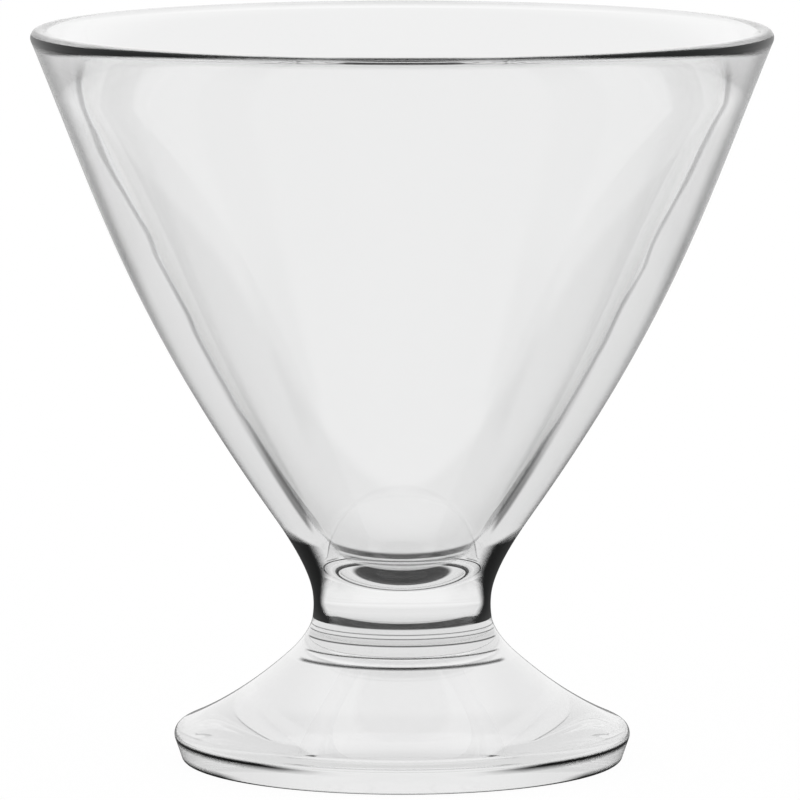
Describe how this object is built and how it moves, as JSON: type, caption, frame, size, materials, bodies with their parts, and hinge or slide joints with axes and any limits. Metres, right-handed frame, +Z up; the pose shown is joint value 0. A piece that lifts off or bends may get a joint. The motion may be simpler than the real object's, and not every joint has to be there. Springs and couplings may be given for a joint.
{
  "type": "dessert cup",
  "caption": "Clear pressed-glass dessert cup: thick conical bowl with a round lip and well, short solid stem, hollow-curved collar and wide conical foot, for serving ice cream or fruit.",
  "frame": {"origin": "centre of the foot's flat underside, on the table", "axes": "+Z up the cup's axis, from the foot to the rim; the cup is round, so X and Y are free"},
  "size_m": [0.105, 0.105, 0.1044],
  "materials": {
    "bowl_glass": "clear, fire polished",
    "stem_glass": "clear, fire polished",
    "collar_glass": "clear, fire polished",
    "foot_glass": "clear, fire polished"
  },
  "bodies": {
    "root": {"bowl": "bowl_glass", "stem": "stem_glass", "collar": "collar_glass", "foot": "foot_glass"}
  },
  "joints": []
}
